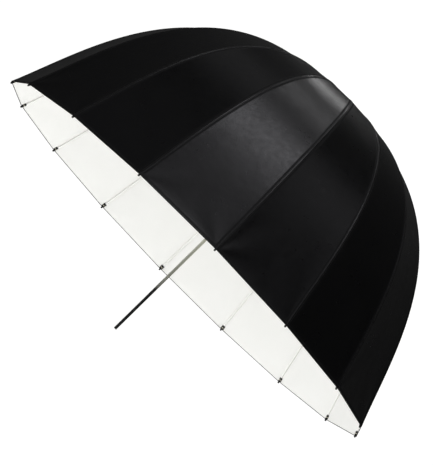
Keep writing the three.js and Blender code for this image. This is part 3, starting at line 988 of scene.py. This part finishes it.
# ---- Cover: the white lining
# The inside of the cover, which throws the light: white woven cloth, sewn to the black at the seams and the
# hem. It is made in the same strips and bands.
lining_gap = 0.0007
lining_thickness = 0.0004
lining = Finish("white_lining_cloth", "white_lining", Specular_IOR_Level=0.25, Sheen_Weight=0.1)
lining_u, lining_v = lining.cloth_map()
lining_cloud = lining.noise(9, 3)
seam_near = lining.within(lining_u.math("ABSOLUTE", lining_u), 0.003, 0.0045, 1.0, 0.0)
lining_base = lining.mix(lining_cloud, (0.885, 0.885, 0.86), (0.915, 0.915, 0.895))
lining.set(Base_Color=lining.mix(seam_near * 0.5, lining_base, (0.86, 0.855, 0.81)),
           Roughness=lining.within(lining_cloud, 0.3, 0.7, 0.62, 0.74))
lining.bump(lining.weave(lining_u, lining_v) * 0.00005 + lining_cloud * 0.0008, 1.0, 0.5)
hang_bands("white_lining", lining, -lining_gap, -lining_gap - lining_thickness,
           -lining_gap + tongue_thickness + tongue_clearance, cloth_columns, 2)

# ---- Seams
# Where two gores meet over a rib they are felled: the edges are folded into a narrow raised band of cloth,
# held by two rows of black thread. The thread lies in stitches as long as a grain of rice.
seam_half = 0.0040
seam_height = 0.0006
seam_lift = 0.00006
seam_sunk = 0.0001
seam_start = 0.004
seam_end_gap = 0.0005
seam_rows = 150
seam_groove = 0.00035
groove_width = 0.0006
stitch_row = 0.0026
stitch_start = 0.026
stitch_end_gap = 0.003
stitch_lift = 0.00042
stitch_pitch = 0.0036
stitch_length = 0.0030
thread_radius = 0.00028


def along_seam(s, corner):
    """Where a corner of a section lies at a distance along the rib."""
    return cover(s, *corner, False)


def swept(section, stations, place=along_seam):
    """A closed band: the closed section at every station, with flat ends. place gives the point for a
    station and a corner of the section."""
    count = len(section)
    points = np.array([[place(t, corner) for corner in section] for t in stations]).reshape(-1, 3)
    faces = []
    for k in range(len(stations) - 1):
        for n in range(count):
            after = (n + 1) % count
            faces.append((k * count + n, k * count + after, (k + 1) * count + after, (k + 1) * count + n))
    faces.append(tuple(range(count))[::-1])
    faces.append(tuple(range(len(points) - count, len(points))))
    mesh = mesh_of(points, faces, 50.0)
    layer = mesh.uv_layers.new(name="cloth")
    for loop in mesh.loops:
        station, corner = divmod(loop.vertex_index, count)
        layer.data[loop.index].uv = (section[corner][0], stations[station])
    work = bmesh.new()
    work.from_mesh(mesh)
    bmesh.ops.recalc_face_normals(work, faces=work.faces)
    work.to_mesh(mesh)
    work.free()
    return mesh


seam_section = [(a * seam_half, seam_lift + seam_height * (1 - abs(a) ** 5)
                 - seam_groove * exp(-((abs(a) * seam_half - stitch_row) / groove_width) ** 2))
                for a in np.linspace(-1, 1, 31)]
seam_section += [(a * seam_half, -seam_sunk) for a in np.linspace(1, -1, 5)]
seam = swept(seam_section, np.linspace(seam_start, rib_length - seam_end_gap, seam_rows))
on_every_rib("seam", seam, cloth, "rib_arm")

stitch_growth = Growth("stitches_along_a_path", Pitch="Float", Half_Length="Float", Radius="Float",
                       Material="Material")
stitch_path = stitch_growth.node("GeometryNodeMeshToCurve", Mesh="Geometry")
stitch_spots = stitch_growth.node("GeometryNodeCurveToPoints", {"mode": "LENGTH"},
                                  Curve=stitch_path.outputs[0], Length="Pitch")
grain = stitch_growth.node("GeometryNodeMeshUVSphere", Segments=6, Rings=4, Radius=1.0)
grain_size = stitch_growth.node("ShaderNodeCombineXYZ", X="Radius", Y="Radius", Z="Half_Length")
stitched = stitch_growth.node("GeometryNodeInstanceOnPoints", Points=stitch_spots.outputs["Points"],
                              Instance=grain.outputs["Mesh"], Rotation=stitch_spots.outputs["Rotation"],
                              Scale=grain_size.outputs[0])
stitch_growth.close(stitched.outputs[0])

black_thread = Finish("black_thread", "black_cloth", Specular_IOR_Level=0.3)
black_thread.cloudy(300, 2, (0.008, 0.008, 0.008), (0.020, 0.020, 0.020), 0.42, 0.6)


def stitches(row, closed=False):
    """Stitches of black thread along a row."""
    grown = stitch_growth.along(row, black_thread, closed, Pitch=stitch_pitch, Half_Length=stitch_length / 2,
                                Radius=thread_radius)
    return smooth_mesh(grown, 80)


spots = np.arange(stitch_start, rib_length - stitch_end_gap, 0.012)
seam_stitches = [stitches(cover(spots, side * stitch_row, stitch_lift, False)) for side in (-1, 1)]
on_every_rib("seam_stitches", joined(seam_stitches, 80.0), black_thread, "rib_arm")

# The lining's seams are felled in the same way, in white, and lie between the lining and the ribs.
lining_seam_half = 0.0034
lining_seam_height = 0.0005
lining_seam_end_gap = 0.0135
lining_seam_top = -lining_gap - lining_thickness
lining_seam_section = [(a * lining_seam_half, lining_seam_top - lining_seam_height * (1 - abs(a) ** 4))
                       for a in np.linspace(1, -1, 15)]
lining_seam_section += [(a * lining_seam_half, lining_seam_top + seam_sunk) for a in np.linspace(-1, 1, 5)]
lining_seam_stations = np.linspace(seam_start, rib_length - lining_seam_end_gap, seam_rows)
lining_seam = swept(lining_seam_section, lining_seam_stations)
on_every_rib("lining_seam", lining_seam, lining, "rib_arm")

# ---- Hem
# The rim is bound with a narrow band of the black cloth, folded round the edge of both layers and sewn
# down. Each of its pieces turns with its rib.
hem_width = 0.009
hem_inside = 0.0012
hem_row = 0.0065
hem_row_start = 0.0036
hem_row_end_gap = 0.0018
hem_stitch_lift = 0.0004
hem_stations = 24
lining_depth = lining_gap + lining_thickness
hem_section = [
    (-hem_width, 0.00005), (-hem_width, 0.0004), (-0.001, 0.00045), (0.0002, 0.0002), (0.0005, -0.0004),
    (0.0003, -lining_depth - 0.0001), (-0.0006, -lining_depth - 0.0004),
    (-hem_inside, -lining_depth - 0.0003), (-hem_inside, -lining_depth - 0.00005),
    (-0.0002, -lining_depth - 0.00002), (-0.0001, -0.0004), (-0.0002, 0.00002),
]
rim_half_width = float(gore_half_width(rib_length))


def along_rim(across, corner):
    """Where a corner of a section lies at a distance across the rib, at the rim."""
    s = rib_length + corner[0]
    return cover(s, across * gore_half_width(s) / rim_half_width, corner[1])


for side in (-1, 1):
    hem_across = side * rim_half_width * np.sin(np.linspace(0, pi / 2, hem_stations + 1))
    hem = swept(hem_section, hem_across, along_rim)
    hem_line = side * np.linspace(hem_row_start, rim_half_width - hem_row_end_gap, 30)
    hem_stitches = stitches(cover(rib_length - hem_row, hem_line, hem_stitch_lift))
    bindings = on_every_rib("hem_binding", hem, cloth, "rib_arm", ending=letters[side])
    threads = on_every_rib("hem_stitches", hem_stitches, black_thread, "rib_arm", ending=letters[side])
    for number, binding in bindings.items():
        for piece in (binding, threads[number]):
            draw_with_band(piece, side)
        piece, facts = rim_bands[number, side]

# ---- Tip pockets
# Each tip's cover sits in a little pocket of black cloth that is sewn to the lining at the corner of the
# hem. A few turns of pale thread hold the tip in the pocket.
pocket_start = 0.0125
pocket_end = 0.0015
pocket_thickness = 0.0004
pocket_wing = 0.0054
pocket_room = 0.0004
pocket_half = tip_radius + pocket_room
pocket_arc = [(pocket_half * sin(a), -rib_inset - pocket_half * cos(a)) for a in np.linspace(-1.35, 1.35, 13)]
pocket_foot = pocket_half + 0.0007
pocket_path = [(-pocket_wing, -lining_depth - 0.0003), (-pocket_foot, -lining_depth - 0.0005), *pocket_arc,
               (pocket_foot, -lining_depth - 0.0005), (pocket_wing, -lining_depth - 0.0003)]
pocket_section = pocket_path + [(a * (1 - pocket_thickness / pocket_half), lift + pocket_thickness * 0.8)
                                for a, lift in pocket_path[::-1]]
pocket = swept(pocket_section, rib_length - np.linspace(pocket_start, pocket_end, 8))
pockets = on_every_rib("tip_pocket", pocket, cloth, "rib_arm")
pocket_width = sum(dist(a, b) for a, b in zip(pocket_path, pocket_path[1:]))

tie_radius = 0.00032
tie_turns = 3
tie_place = 0.0062
pale_thread = Finish("pale_thread", "white_lining", Specular_IOR_Level=0.3)
pale_thread.cloudy(400, 2, (0.50, 0.48, 0.38), (0.68, 0.66, 0.56), 0.5, 0.7)
ties = []
for k in range(tie_turns):
    station = rib_length - tie_place - k * 2 * tie_radius
    tie_path = [along_seam(station, (a * 1.05, lift - tie_radius)) for a, lift in pocket_path[1:-1]]
    ties.append(rod_growth.along(tie_path, pale_thread, Radius=tie_radius, Sides=6))
on_every_rib("tip_thread", joined(ties, 60.0), pale_thread, "rib_arm")

# ---- Patch and cap at the crown
# A round patch of black cloth covers the hole in the middle of the cover and is sewn down round its edge. A
# low round cap of black plastic closes the end of the shaft over it.
patch_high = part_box("crown_patch")[1]
patch_radius = patch_high.x
cover_top = pivot_y + rib_inset
patch_clearance = 0.0003
patch_inner = shaft_radius + patch_clearance
patch_edge = 0.0004
patch_outline = [(radius, cover_top + lift) for radius, lift in (
    (patch_inner, 0.0009), (patch_inner, 0.0001), (0.014, 0.0001), (0.019, 0.0004), (patch_radius, 0.0003),
    (patch_radius, 0.0009), (0.019, 0.00125), (patch_inner, 0.0012),
)]
patch = turned(rounded_ring(patch_outline, patch_edge, 3), 96)
patch_finish = Finish("black_patch_cloth", "black_cloth", Specular_IOR_Level=0.22)
patch_finish.cloudy(60, 3, (0.006, 0.006, 0.006), (0.012, 0.012, 0.012), 0.4, 0.5)
patch_finish.bump(patch_finish.noise(1400), 0.0002)
patch_piece = new_piece("cover_patch", patch, patch_finish, "shaft", "crown_patch")
patch_stitch_inset = 0.003
patch_stitch_lift = 0.00112
patch_row = circle(patch_radius - patch_stitch_inset, cover_top + patch_stitch_lift, 64)
patch_thread = new_piece("patch_stitches", stitches(patch_row, True), black_thread, "shaft")

cap_low, cap_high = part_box("crown_cap")
cap_radius = cap_high.x
cap_clearance = 0.0003
cap_base = patch_high.y + cap_clearance
cap_chamfer = 0.0004
cap_rim = 0.0006
cap = turned([
    (0, cap_low.y), (plug_radius - cap_chamfer, cap_low.y), (plug_radius, cap_low.y + cap_chamfer),
    (plug_radius, cap_base), (cap_radius - 0.0005, cap_base), (cap_radius, cap_base + cap_chamfer),
    *dome(cap_radius, cap_base + cap_rim, cap_high.y, 12), (0, cap_high.y),
], 64, 40.0)
new_piece("crown_dome", cap, plastic, "shaft", "crown_cap")
